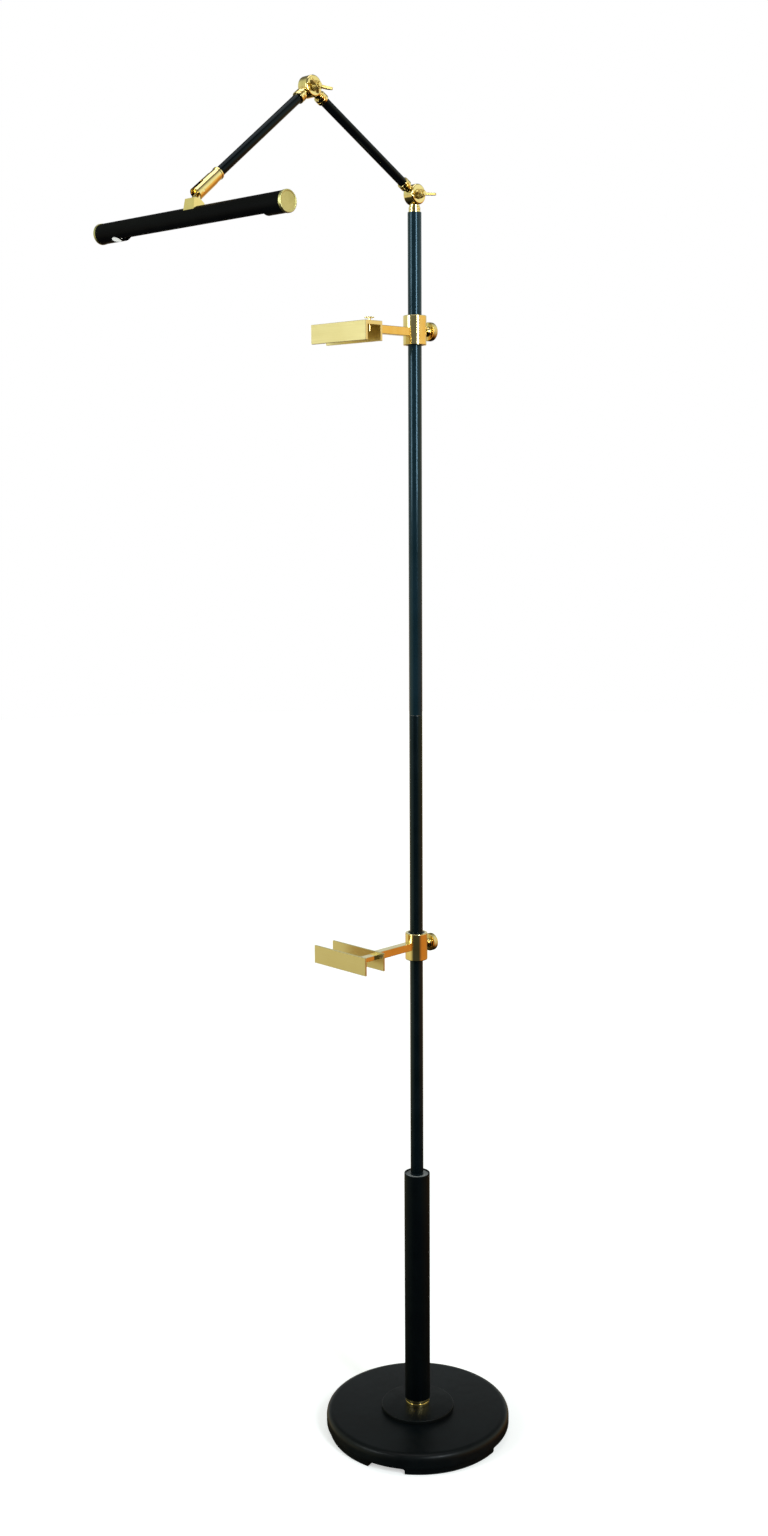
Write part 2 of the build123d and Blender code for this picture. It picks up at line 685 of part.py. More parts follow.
def upper_channel():
    """Thick-walled channel, milled from one bar, that opens downwards over the top edge of a picture."""
    outer = block_between(
        (UPPER_LEFT, UPPER_FRONT, UPPER_CHANNEL_TOP - PLATE_H),
        (UPPER_RIGHT, UPPER_REAR + CHANNEL_WALL, UPPER_CHANNEL_TOP),
    )
    inner = block_between(
        (UPPER_LEFT - 1, UPPER_FRONT + CHANNEL_WALL, UPPER_CHANNEL_TOP - PLATE_H - 1),
        (UPPER_RIGHT + 1, UPPER_REAR, UPPER_CHANNEL_TOP - CHANNEL_WEB),
    )
    body = chamfer(outer.edges(), 0.4) - inner
    return body - Pos(THUMB_X, thumb_y(), 0) * disc_between(THUMB_LOW, THUMB_HEAD_Z, THUMB_SHANK_R + RUNNING)


def thumb_y():
    return (UPPER_FRONT + UPPER_REAR + CHANNEL_WALL) / 2


def upper_thumb_screw():
    """Small screw through the channel's web, which holds the picture's top edge down."""
    head = Pos(0, 0, THUMB_HEAD_Z) * fluted(THUMB_R, THUMB_T, THUMB_FLUTES, 0.7)
    shank = disc_between(THUMB_LOW, THUMB_HEAD_Z + 1, THUMB_SHANK_R)
    return Pos(THUMB_X, thumb_y(), 0) * (head + shank)


def lower_shelf_bar():
    """Shelf between the two plates, on which a picture's lower edge stands."""
    half_w = ARM_BAR_W / 2
    low = (-half_w, LOWER_FRONT + PLATE_T + FIT, SHELF_TOP - SHELF_H)
    high = (half_w, LOWER_REAR - FIT, SHELF_TOP)
    body = block_between(low, high)
    return chamfer(body.edges().filter_by(Axis.Y), 0.4)


# ---- the assembly ----
def stand_nodes():
    return {
        "base_casting": base_casting(),
        "felt_pad": felt_pad(),
        "cord_grommet": cord_grommet(),
        "raised_disc": raised_disc(),
        "base_rod": base_rod(),
        "base_washer": base_washer(),
        "base_nut": base_nut(),
        "base_collar": base_collar(),
        "column_tube": column_tube(),
        "column_top_bush": column_top_bush(),
        "stem_socket": stem_socket(),
        "stem_lower_tube": stem_lower_tube(),
        "stem_upper_tube": stem_upper_tube(),
        "stem_coupler": stem_coupler(),
        "stem_top_collar": stem_top_collar(),
    }


def arm_nodes():
    shoulder = Pos(*SHOULDER)
    arm_1 = ARM_1.location
    arm_1_back = ARM_1_BACK.location
    arm_2 = ARM_2.location
    tube_start = NECK_END + FERRULE_LEN + FIT
    return {
        "shoulder_lower_half": shoulder_lower_half(),
        "swivel_retainer": swivel_retainer(),
        "shoulder_bolt": shoulder * knuckle_bolt(),
        "shoulder_washer": shoulder * knuckle_washer(),
        "shoulder_wing_nut": shoulder * wing_nut(0),
        "shoulder_upper_half": arm_1 * knuckle_half(1, BOLT_R + RUNNING),
        "arm_1_lower_ferrule": arm_1 * ferrule(),
        "arm_1_tube": arm_1 * arm_tube(tube_start, ARM_1_LEN - tube_start),
        "arm_1_upper_ferrule": arm_1_back * ferrule(),
        "elbow_lower_half": arm_1_back * knuckle_half(1, BOLT_R + RUNNING),
        "elbow_upper_half": arm_2 * knuckle_half(-1, BOLT_R + FIT),
        "elbow_bolt": Pos(*ELBOW) * knuckle_bolt(),
        "elbow_washer": Pos(*ELBOW) * knuckle_washer(),
        "elbow_wing_nut": Pos(*ELBOW) * wing_nut(ELBOW_WING_TURN),
        "arm_2_upper_ferrule": arm_2 * ferrule(),
        "arm_2_tube": arm_2 * arm_tube(tube_start, ARM_2_TUBE_END),
        "arm_2_end_plug": arm_2 * arm_2_end_plug(),
        "head_sleeve": arm_2 * head_sleeve(),
        "head_pivot_pin": arm_2 * head_pivot_pin(),
    }


def light_nodes():
    return {
        "head_neck": head_neck(),
        "bar_block": bar_block(),
        "block_screws": block_screws(),
        "bar_tube": bar_tube(),
        "bar_near_cap": end_cap(BAR_NEAR - CAP_T, 1),
        "bar_far_cap": end_cap(BAR_FAR + CAP_T, -1),
        "reflector": reflector(),
        "lampholders": lampholders(),
        "tubular_bulbs": tubular_bulbs(),
        "switch_body": switch_body(),
        "switch_rocker": switch_rocker(),
    }


def bracket_nodes():
    return {
        "upper_liner": liner(UPPER_Z),
        "upper_clamp_ring": with_arm_screw_hole(clamp_ring(UPPER_Z), UPPER_ARM_Z),
        "upper_arm_screw": arm_screw(UPPER_ARM_Z),
        "upper_arm_bar": arm_bar(UPPER_ARM_Z, UPPER_REAR + CHANNEL_WALL + FIT),
        "upper_channel": upper_channel(),
        "upper_thumb_screw": upper_thumb_screw(),
        "upper_clamp_knob": clamp_knob(UPPER_Z),
        "lower_liner": liner(LOWER_Z),
        "lower_clamp_ring": with_arm_screw_hole(clamp_ring(LOWER_Z), LOWER_ARM_Z),
        "lower_arm_screw": arm_screw(LOWER_ARM_Z),
        "lower_arm_bar": arm_bar(LOWER_ARM_Z, LOWER_REAR + PLATE_T + FIT),
        "lower_rear_plate": lower_plate(LOWER_REAR),
        "lower_front_plate": lower_plate(LOWER_FRONT),
        "lower_shelf_bar": lower_shelf_bar(),
        "lower_clamp_knob": clamp_knob(LOWER_Z),
    }


def write_nodes(nodes):
    """Writes each node to its own STEP file, a list of shapes as a group of separate solids."""
    os.makedirs("parts", exist_ok=True)
    for name, shape in nodes.items():
        solids = shape if isinstance(shape, list) else [shape]
        separate = [solid for item in solids for solid in item.solids()]
        export_step(Compound(children=separate) if len(separate) > 1 else separate[0], f"parts/{name}.step")


if __name__ == "__main__":
    write_nodes({**stand_nodes(), **arm_nodes(), **light_nodes(), **bracket_nodes()})
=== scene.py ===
"""Looks of the easel floor lamp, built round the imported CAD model.

Most CAD nodes keep their own shape and get a procedural finish. Turned, knurled and cast pieces are rebuilt
here with finer profiles. Lengths are in millimetres in the code and become metres in the meshes.
"""

from functools import partial
from math import cos, pi, radians, sin

import bmesh
import bpy
from mathutils import Matrix, Vector


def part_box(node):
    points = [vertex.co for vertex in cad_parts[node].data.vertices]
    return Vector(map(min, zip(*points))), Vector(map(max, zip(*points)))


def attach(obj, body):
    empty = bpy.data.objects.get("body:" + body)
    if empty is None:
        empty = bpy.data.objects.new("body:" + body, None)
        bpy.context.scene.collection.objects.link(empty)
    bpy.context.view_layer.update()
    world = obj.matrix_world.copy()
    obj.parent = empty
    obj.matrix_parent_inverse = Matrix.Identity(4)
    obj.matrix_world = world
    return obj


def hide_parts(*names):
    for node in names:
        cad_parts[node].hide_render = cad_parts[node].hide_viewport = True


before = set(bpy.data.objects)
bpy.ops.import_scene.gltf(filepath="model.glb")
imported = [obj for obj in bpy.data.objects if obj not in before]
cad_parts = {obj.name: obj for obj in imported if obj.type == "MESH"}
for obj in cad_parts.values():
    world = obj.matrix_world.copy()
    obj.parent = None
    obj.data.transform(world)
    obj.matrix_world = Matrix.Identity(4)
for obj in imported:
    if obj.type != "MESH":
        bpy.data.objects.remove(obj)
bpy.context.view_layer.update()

MM = 0.001
ACROSS = Vector((1, 0, 0))
BACKWARDS = Vector((0, 1, 0))
UP = Vector((0, 0, 1))
UPRIGHT = Matrix.Identity(4)


# ---- places read from the CAD model ----
def centre_of(node):
    """Middle of a CAD node's box, in millimetres."""
    low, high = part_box(node)
    return (low + high) / 2 / MM


def span_of(node, axis):
    """Lowest and highest coordinate of a CAD node along X, Y or Z, in millimetres."""
    low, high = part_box(node)
    return low["XYZ".index(axis)] / MM, high["XYZ".index(axis)] / MM


def radius_of(node):
    """Outer radius of a round CAD node that stands on the stem's axis."""
    return span_of(node, "X")[1]


def on_axis_plane(point):
    """The same point in the middle plane x = 0, where every arm axis lies."""
    return Vector((0, point.y, point.z))


def frame_along(origin, direction, sideways=ACROSS):
    """Matrix whose local Z runs along a direction and whose local X stays close to a sideways one."""
    z = direction.normalized()
    y = z.cross(sideways).normalized()
    x = y.cross(z)
    return Matrix.Translation(origin) @ Matrix((x, y, z)).transposed().to_4x4()


SHOULDER = on_axis_plane(centre_of("shoulder_bolt"))
ELBOW = on_axis_plane(centre_of("elbow_bolt"))
HEAD = on_axis_plane(centre_of("head_pivot_pin"))
BAR = on_axis_plane(centre_of("bar_tube"))
ARM_1 = frame_along(SHOULDER, ELBOW - SHOULDER)
ARM_1_BACK = frame_along(ELBOW, SHOULDER - ELBOW)
ARM_2 = frame_along(ELBOW, HEAD - ELBOW)
ARM_1_LEN = (ELBOW - SHOULDER).length
BAR_NEAR = span_of("bar_near_cap", "X")[1]
BAR_FAR = span_of("bar_far_cap", "X")[0]


def along_bar(station, facing):
    """Matrix at a place on the light bar's axis whose local Z faces its near end (1) or its far end (-1)."""
    return frame_along(Vector((station, BAR.y, BAR.z)), Vector((facing, 0, 0)), UP)


# ---- mesh helpers ----
AXIS_R = 0.05  # closed profiles stop this far from their axis


def placed(name, data):
    """New object in the scene."""
    made = bpy.data.objects.new(name, data)
    bpy.context.scene.collection.objects.link(made)
    return made


def mesh_from(bm, name):
    """Mesh of a bmesh, which is freed."""
    mesh = bpy.data.meshes.new(name)
    bm.to_mesh(mesh)
    bm.free()
    return mesh


def finish_mesh(name, mesh, matrix, material, sharp_deg=32):
    """Object at the origin from a mesh in local millimetres, shaded smooth between sharp edges."""
    mesh.transform(Matrix.Scale(MM, 4) @ matrix)
    mesh.polygons.foreach_set("use_smooth", [True] * len(mesh.polygons))
    mesh.set_sharp_from_angle(angle=radians(sharp_deg))
    mesh.materials.clear()
    mesh.materials.append(MATERIALS[material])
    return placed(name, mesh)


def stand_in(piece, body, slot, *nodes):
    """Puts a piece on its body in place of the CAD nodes it stands for."""
    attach(piece, body)
    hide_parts(*nodes)


def rounded(corners, steps=4):
    """Closed outline of (a, b) points from (a, b, radius) corners, each rounded by its own radius."""
    reach = 0.49  # most of a side that one rounding may take
    points = []
    count = len(corners)
    for i, (a, b, radius) in enumerate(corners):
        here = Vector((a, b))
        if not radius:
            points.append(here)
            continue
        before = Vector(corners[i - 1][:2]) - here
        after = Vector(corners[(i + 1) % count][:2]) - here
        start = here + before.normalized() * min(radius, before.length * reach)
        end = here + after.normalized() * min(radius, after.length * reach)
        for step in range(steps + 1):
            t = step / steps
            points.append(start * (1 - t) ** 2 + here * 2 * t * (1 - t) + end * t * t)
    return [tuple(p) for p in points]


def revolved(outline, segments=96, wobble=None):
    """Mesh of a closed (radius, height) outline turned round Z.

    wobble(angle, radius, height) gives the radius where it is not the same all round.
    """
    bm = bmesh.new()
    rings = []
    for k in range(segments):
        angle = 2 * pi * k / segments
        ring = []
        for radius, height in outline:
            r = wobble(angle, radius, height) if wobble else radius
            ring.append(bm.verts.new((r * cos(angle), r * sin(angle), height)))
        rings.append(ring)
    for k in range(segments):
        here, there = rings[k], rings[(k + 1) % segments]
        for i in range(len(outline)):
            j = (i + 1) % len(outline)
            bm.faces.new((here[i], there[i], there[j], here[j]))
    bmesh.ops.remove_doubles(bm, verts=bm.verts, dist=1e-4)
    bmesh.ops.recalc_face_normals(bm, faces=bm.faces)
    return mesh_from(bm, "turned")


def prism(outline, low, high):
    """Mesh of an (x, y) outline extruded between two heights."""
    bm = bmesh.new()
    face = bm.faces.new([bm.verts.new((x, y, low)) for x, y in outline])
    grown = bmesh.ops.extrude_face_region(bm, geom=[face])
    top = [v for v in grown["geom"] if isinstance(v, bmesh.types.BMVert)]
    bmesh.ops.translate(bm, verts=top, vec=(0, 0, high - low))
    bmesh.ops.recalc_face_normals(bm, faces=bm.faces)
    return mesh_from(bm, "prism")


def settled(holder):
    """The mesh of a scratch object with its modifiers applied. The object is removed."""
    graph = bpy.context.evaluated_depsgraph_get()
    graph.update()
    mesh = bpy.data.meshes.new_from_object(holder.evaluated_get(graph))
    bpy.data.objects.remove(holder)
    return mesh


def cut(mesh, cutters):
    """The mesh with each cutter mesh taken away from it."""
    holder = placed("scratch", mesh)
    tools = [placed("scratch", cutter) for cutter in cutters]
    for tool in tools:
        step = holder.modifiers.new("cut", "BOOLEAN")
        step.operation = "DIFFERENCE"
        step.solver = "EXACT"
        step.object = tool
    result = settled(holder)
    for tool in tools:
        bpy.data.objects.remove(tool)
    return result


def joined(meshes):
    """One mesh from several."""
    bm = bmesh.new()
    for mesh in meshes:
        bm.from_mesh(mesh)
    return mesh_from(bm, "joined")


# ---- node helpers ----
MIX_AMOUNT, MIX_FIRST, MIX_SECOND, MIX_RESULT = 0, 6, 7, 2  # sockets of a Mix node set to colours


def add_node(tree, kind, links, **settings):
    """New shader node with its settings. Each link is another node's output or a constant."""
    made = tree.nodes.new("ShaderNode" + kind)
    for key, value in settings.items():
        setattr(made, key, value)
    for key, value in links.items():
        if isinstance(value, bpy.types.NodeSocket):
            tree.links.new(value, made.inputs[key])
        else:
            made.inputs[key].default_value = value
    return made


def smooth_range(tree, value, start, end, low, high):
    """The value mapped smoothly from start..end to low..high."""
    ends = {"Value": value, "From Min": start, "From Max": end, "To Min": low, "To Max": high}
    return add_node(tree, "MapRange", ends, interpolation_type="SMOOTHSTEP").outputs[0]


def mixed_colour(tree, amount, first, second):
    """Colour between two, each an output or a plain (r, g, b), chosen by an amount from 0 to 1."""
    first, second = [(*colour, 1) if isinstance(colour, tuple) else colour for colour in (first, second)]
    links = {MIX_AMOUNT: amount, MIX_FIRST: first, MIX_SECOND: second}
    return add_node(tree, "Mix", links, data_type="RGBA").outputs[MIX_RESULT]


class Finish:
    """A node material: a Principled shader with object-space textures that feed it."""

    def __init__(self, name, **sockets):
        self.material = bpy.data.materials.new(name)
        self.material.use_nodes = True
        self.tree = self.material.node_tree
        self.shader = self.tree.nodes["Principled BSDF"]
        for key, value in sockets.items():
            self.shader.inputs[key.replace("_", " ")].default_value = value
        self.node = partial(add_node, self.tree)
        self.tint = partial(mixed_colour, self.tree)
        self.coords = self.node("TexCoord", {}).outputs["Object"]

    def link(self, output, socket):
        self.tree.links.new(output, self.shader.inputs[socket])

    def noise(self, scale, detail=3.0, stretch=(1, 1, 1), rough=0.5):
        """Noise value with so many waves to the metre, stretched along an axis."""
        place = self.node("Mapping", {"Vector": self.coords, "Scale": stretch}).outputs[0]
        waves = {"Vector": place, "Scale": scale, "Detail": detail, "Roughness": rough}
        return self.node("TexNoise", waves).outputs["Fac"]

    def between(self, value, low, high, start=0.3, end=0.7):
        """The value mapped from start..end, the usual span of a noise, to low..high."""
        return smooth_range(self.tree, value, start, end, low, high)

    def math(self, operation, a, b=0.0):
        return self.node("Math", {0: a, 1: b}, operation=operation).outputs[0]

    def vector_math(self, operation, a, b=(0, 0, 0), output="Vector"):
        return self.node("VectorMath", {0: a, 1: b}, operation=operation).outputs[output]

    def bump(self, height, depth):
        """Bump from a 0..1 height whose full depth is given in millimetres."""
        made = self.node("Bump", {"Height": height, "Distance": depth * MM, "Strength": 1.0})
        self.link(made.outputs[0], "Normal")


# ---- finishes ----
# Each takes its darkest and lightest colour, and most a gloss: the lowest and highest roughness.
def black_finish(name, dark, light, gloss, grain_mm, grain_depth, specular, sheen=(1, 1, 1)):
    """Baked black lacquer: fine orange peel or cast grain, cloudy gloss and a few pale scuffs."""
    made = Finish(name, Specular_IOR_Level=specular, Specular_Tint=(*sheen, 1))
    cloud = made.between(made.noise(22, 4), 0, 0.6)
    scuff = made.between(made.noise(180, 6, rough=0.7), 0, 1, 0.66, 0.78)
    made.link(made.tint(made.math("MAXIMUM", cloud, scuff), dark, light), "Base Color")
    made.link(made.between(made.noise(60, 5), *gloss), "Roughness")
    made.bump(made.noise(1000 / grain_mm, 2), grain_depth)
    return made.material


def polished_finish(name, dark, light, gloss):
    """Hand polished and lacquered brass: clear reflections with faint smears and a slight waviness."""
    made = Finish(name, Metallic=1.0, Coat_Weight=0.15, Coat_Roughness=0.08)
    made.link(made.tint(made.between(made.noise(35, 4), 0, 1), dark, light), "Base Color")
    smear = made.noise(90, 5, stretch=(1, 1, 0.35))
    made.link(made.between(smear, *gloss), "Roughness")
    made.bump(made.noise(140, 2), 0.004)
    return made.material


def brushed_finish(name, dark, light, gloss, stretch):
    """Brass sheet brushed along its length, with slightly darker patches."""
    made = Finish(name, Metallic=1.0)
    lines = made.noise(1300, 2, stretch=stretch, rough=0.6)
    tone = made.math("ADD", made.between(made.noise(28, 3), 0, 0.4), made.between(lines, 0, 0.5))
    made.link(made.tint(tone, dark, light), "Base Color")
    made.link(made.between(lines, *gloss), "Roughness")
    made.bump(lines, 0.0003)
    return made.material


def turned_finish(name, dark, light, gloss):
    """Brass faced on a lathe: fine rings about the light bar's axis."""
    ring_pitch = 0.45
    made = Finish(name, Metallic=1.0)
    centred = made.vector_math("ADD", made.coords, -BAR * MM)
    across = made.vector_math("MULTIPLY", centred, (0, 1, 1))
    distance = made.vector_math("LENGTH", across, output="Value")
    ring = made.math("SINE", made.math("MULTIPLY", distance, 2 * pi / (ring_pitch * MM)))
    grain = made.math("MULTIPLY", made.noise(700, 3), 0.3)
    height = made.math("ADD", made.math("MULTIPLY", ring, 0.35), grain)
    tone = made.between(made.math("ADD", made.math("MULTIPLY", ring, 0.12), made.noise(60, 3)), 0, 1)
    made.link(made.tint(tone, dark, light), "Base Color")
    made.link(made.between(made.noise(300, 3), *gloss), "Roughness")
    made.bump(height, 0.01)
    return made.material


def plain_finish(name, dark, light, gloss, grain_mm, grain_depth, **sockets):
    """Moulded, fired, cast or pressed material with a mottled tone and a fine grain."""
    made = Finish(name, **sockets)
    made.link(made.tint(made.between(made.noise(70, 4), 0, 1), dark, light), "Base Color")
    made.link(made.between(made.noise(120, 4), *gloss), "Roughness")
    made.bump(made.noise(1000 / grain_mm, 4), grain_depth)
    return made.material


def felt_finish(name, dark, light):
    """Pressed felt: short tangled fibres and a soft sheen."""
    made = Finish(name, Sheen_Weight=0.4, Sheen_Roughness=0.5)
    fibre = made.noise(1500, 6, stretch=(1, 0.25, 1), rough=0.75)
    made.link(made.tint(made.between(fibre, 0, 1), dark, light), "Base Color")
    made.link(made.between(fibre, 0.85, 1.0), "Roughness")
    made.bump(fibre, 0.25)
    return made.material


BLACK = (0.001, 0.0015, 0.002)
DEEP_BLACK = (0.001, 0.001, 0.0015)
DEEP_BLACK_LIGHT = (0.002, 0.0025, 0.003)
COLD_SHEEN = (0.5, 0.8, 1.0)
MATERIALS = {}


def add_material(name, maker, *values, **sockets):
    MATERIALS[name] = maker(name, *values, **sockets)


add_material("black_base", black_finish, BLACK, (0.002, 0.004, 0.005), (0.32, 0.42), 1.6, 0.02, 0.18)
add_material("black_disc", black_finish, BLACK, (0.003, 0.005, 0.005), (0.40, 0.50), 1.2, 0.015, 0.16)
add_material(
    "black_column", black_finish, BLACK, (0.002, 0.003, 0.003), (0.32, 0.42), 1.2, 0.004, 0.12, COLD_SHEEN
)
add_material(
    "black_stem", black_finish, (0.001, 0.003, 0.004), (0.003, 0.006, 0.008), (0.15, 0.19),
    9.0, 0.004, 0.32, COLD_SHEEN,
)
# Copy of black_stem for the upper stem tube, with a bluer, lighter base colour: painted cool light on that
# tube.
add_material(
    "blue_black_stem", black_finish, (0.003, 0.011, 0.016), (0.006, 0.017, 0.025), (0.15, 0.19),
    9.0, 0.004, 0.36, COLD_SHEEN,
)
add_material(
    "black_arm", black_finish, DEEP_BLACK, DEEP_BLACK_LIGHT, (0.15, 0.21), 6.0, 0.004, 0.15, COLD_SHEEN
)
add_material("black_bar", black_finish, DEEP_BLACK, DEEP_BLACK_LIGHT, (0.34, 0.44), 3.0, 0.004, 0.025)
add_material("felt", felt_finish, (0.006, 0.007, 0.007), (0.03, 0.033, 0.03))
add_material("grommet_rubber", plain_finish, (0.006, 0.006, 0.006), (0.02, 0.02, 0.02), (0.6, 0.8), 0.4, 0.03)
add_material(
    "steel", plain_finish, (0.42, 0.42, 0.43), (0.62, 0.62, 0.63), (0.22, 0.4), 0.3, 0.006, Metallic=1.0
)
add_material("bush_plastic", plain_finish, (0.16, 0.17, 0.17), (0.30, 0.31, 0.31), (0.35, 0.55), 0.5, 0.02)
add_material("liner_plastic", plain_finish, (0.02, 0.02, 0.02), (0.05, 0.05, 0.05), (0.35, 0.5), 0.5, 0.01)
add_material(
    "reflector_white", plain_finish, (0.70, 0.70, 0.69), (0.86, 0.86, 0.85), (0.25, 0.4), 1.2, 0.02,
    Coat_Weight=0.4,
)
add_material(
    "holder_ceramic", plain_finish, (0.66, 0.64, 0.60), (0.84, 0.82, 0.78), (0.25, 0.45), 0.8, 0.03,
    Coat_Weight=0.5,
)
add_material(
    "bulb_glass", plain_finish, (0.80, 0.79, 0.76), (0.90, 0.89, 0.87), (0.12, 0.22), 3.0, 0.004,
    Coat_Weight=0.8, Subsurface_Weight=0.25, Subsurface_Scale=0.002,
)
add_material("switch_case", plain_finish, (0.015, 0.015, 0.015), (0.04, 0.04, 0.04), (0.4, 0.55), 0.5, 0.02)
add_material("switch_white", plain_finish, (0.70, 0.70, 0.68), (0.84, 0.84, 0.82), (0.25, 0.38), 0.6, 0.01)
add_material("polished_brass", polished_finish, (0.84, 0.66, 0.26), (0.92, 0.77, 0.38), (0.06, 0.14))
add_material(
    "cast_brass", plain_finish, (0.62, 0.46, 0.14), (0.76, 0.60, 0.22), (0.50, 0.60), 0.9, 0.01, Metallic=1.0
)
add_material(
    "brushed_brass", brushed_finish, (0.86, 0.73, 0.36), (0.92, 0.80, 0.43), (0.30, 0.36), (0.015, 1, 1)
)
add_material("turned_brass", turned_finish, (0.48, 0.45, 0.19), (0.58, 0.54, 0.25), (0.34, 0.44))


def paint_cad_nodes():
    """Gives every CAD node the finish that its material slot names."""
    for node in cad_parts.values():
        for slot in node.material_slots:
            if slot.material:
                slot.material = MATERIALS[slot.material.name.split(".")[0]]


paint_cad_nodes()


# ---- turned pieces ----
ROD_HOLE_R = 5.3  # through the base and the disc
STEM_COLLAR_R = 8.5
STEM_COLLAR_BORE_R = 5.06
STEM_PLUG_R = 8.45  # the collar's plug inside the stem
STEM_COLLAR_GROOVE = (7.8, 2.6, 3.6)  # radius, and lower and upper edge above the stem's end
FERRULE_R = 8.5
FERRULE_BORE_R = 5.45
ARM_R = 6.5
ARM_BORE_R = 5.5
ARM_START = 28.55  # from the knuckle's axis
ARM_2_END = 219.0
ARM_EDGE = 0.3


def tube_outline(inner, outer, low, high, soft):
    half = soft * 0.5
    return rounded([(inner, low, half), (outer, low, soft), (outer, high, soft), (inner, high, half)])


def grooved_ring(inner, outer, low, high, groove_low, groove_high, depth, soft=0.5):
    """Ring with a soft outer edge and one square groove."""
    floor = outer - depth
    return rounded([
        (inner, low, 0), (outer, low, soft), (outer, groove_low, 0.15), (floor, groove_low, 0.1),
        (floor, groove_high, 0.1), (outer, groove_high, 0.15), (outer, high, soft), (inner, high, 0),
    ])


def turned_piece(node, body, slot, outline, matrix=UPRIGHT, segments=96, material=None):
    """Turned stand-in for a CAD node. Its material is the slot's own unless another one is named."""
    piece = finish_mesh(node + "_fine", revolved(outline, segments), matrix, material or slot)
    stand_in(piece, body, slot, node)


def stand_pieces():
    low, high = span_of("raised_disc", "Z")
    outer = radius_of("raised_disc")
    disc = rounded([(ROD_HOLE_R, low, 0), (outer, low, 0.2), (outer, high, 1.4), (ROD_HOLE_R, high, 0)])
    turned_piece("raised_disc", "stand", "black_disc", disc, segments=160)

    low, high = span_of("base_collar", "Z")
    collar = grooved_ring(
        inner=16, outer=radius_of("base_collar"), low=low, high=high,
        groove_low=low + 6, groove_high=low + 7.2, depth=0.7,
    )
    turned_piece("base_collar", "stand", "polished_brass", collar, segments=128)

    for node, inner, slot, material in (
        ("column_tube", 18.5, "black_column", "black_column"),
        ("column_top_bush", 10.05, "bush_plastic", "bush_plastic"),
        ("stem_lower_tube", 8.5, "black_stem", "black_stem"),
        # The upper tube takes the copy of black_stem whose base colour carries painted cool light.
        ("stem_upper_tube", 8.5, "black_stem", "blue_black_stem"),
    ):
        low, high = span_of(node, "Z")
        outline = tube_outline(inner, radius_of(node), low, high, 0.45)
        turned_piece(node, "stand", slot, outline, segments=112, material=material)

    low, high = span_of("stem_top_collar", "Z")
    seat = span_of("stem_upper_tube", "Z")[1]
    floor, below, above = STEM_COLLAR_GROOVE
    top_collar = rounded([
        (STEM_COLLAR_BORE_R, low, 0), (STEM_PLUG_R, low, 0.4), (STEM_PLUG_R, seat, 0), (STEM_COLLAR_R, seat, 0),
        (STEM_COLLAR_R, seat + below, 0.15), (floor, seat + below, 0.1),
        (floor, seat + above, 0.1), (STEM_COLLAR_R, seat + above, 0.15),
        (STEM_COLLAR_R, high, 0.9), (STEM_COLLAR_BORE_R, high, 0),
    ])
    turned_piece("stem_top_collar", "stand", "polished_brass", top_collar)


def arm_pieces():
    ferrule = grooved_ring(
        inner=FERRULE_BORE_R, outer=FERRULE_R, low=19.05, high=28.5,
        groove_low=23.2, groove_high=24.4, depth=0.8, soft=0.7,
    )
    turned_piece("arm_1_lower_ferrule", "arm_1", "polished_brass", ferrule, ARM_1)
    turned_piece("arm_1_upper_ferrule", "arm_1", "polished_brass", ferrule, ARM_1_BACK)
    turned_piece("arm_2_upper_ferrule", "arm_2", "polished_brass", ferrule, ARM_2)
    for node, body, end, matrix in (
        ("arm_1_tube", "arm_1", ARM_1_LEN - ARM_START, ARM_1),
        ("arm_2_tube", "arm_2", ARM_2_END, ARM_2),
    ):
        outline = tube_outline(ARM_BORE_R, ARM_R, ARM_START, end, ARM_EDGE)
        turned_piece(node, body, "black_arm", outline, matrix, 72)


# ---- cast base ----
BASE_R = 146
FOOT_R = 142
FOOT_TOP = 11
RECESS_R = 88
RECESS_TOP = 19
NOTCH_CENTRES = (23, 113, 203, 293)  # degrees. The cord leaves through the second one
NOTCH_HALF = 12.5  # degrees
NOTCH_TOP = 9.0
NOTCH_CORNER = 3.2
NOTCH_IN_R = 116
NOTCH_OUT_R = 160
CORD_SLOT_IN_R = 82
CORD_SLOT_OUT_R = 128
CORD_SLOT_HALF = 6
CORD_SLOT_TOP = 9
CUTTER_LOW = -3  # cutters start this far under the base


def polar(radius, degrees, height):
    return radius * cos(radians(degrees)), radius * sin(radians(degrees)), height


def notch_tool(centre):
    """Cutter with a round-cornered arch that is swept outwards through the foot ring."""
    arch = rounded([
        (-NOTCH_HALF, CUTTER_LOW, 0), (NOTCH_HALF, CUTTER_LOW, 0),
        (NOTCH_HALF, NOTCH_TOP, NOTCH_CORNER), (-NOTCH_HALF, NOTCH_TOP, NOTCH_CORNER),
    ], 6)
    bm = bmesh.new()
    near = [bm.verts.new(polar(NOTCH_IN_R, centre + a, z)) for a, z in arch]
    far = [bm.verts.new(polar(NOTCH_OUT_R, centre + a, z)) for a, z in arch]
    count = len(arch)
    for i in range(count):
        j = (i + 1) % count
        bm.faces.new((near[i], near[j], far[j], far[i]))
    bm.faces.new(near)
    bm.faces.new(far)
    bmesh.ops.recalc_face_normals(bm, faces=bm.faces)
    return mesh_from(bm, "notch")


def cord_slot_tool():
    outline = [
        (CORD_SLOT_IN_R, -CORD_SLOT_HALF), (CORD_SLOT_OUT_R, -CORD_SLOT_HALF),
        (CORD_SLOT_OUT_R, CORD_SLOT_HALF), (CORD_SLOT_IN_R, CORD_SLOT_HALF),
    ]
    mesh = prism(outline, CUTTER_LOW, CORD_SLOT_TOP)
    mesh.transform(Matrix.Rotation(radians(NOTCH_CENTRES[1]), 4, "Z"))
    return mesh


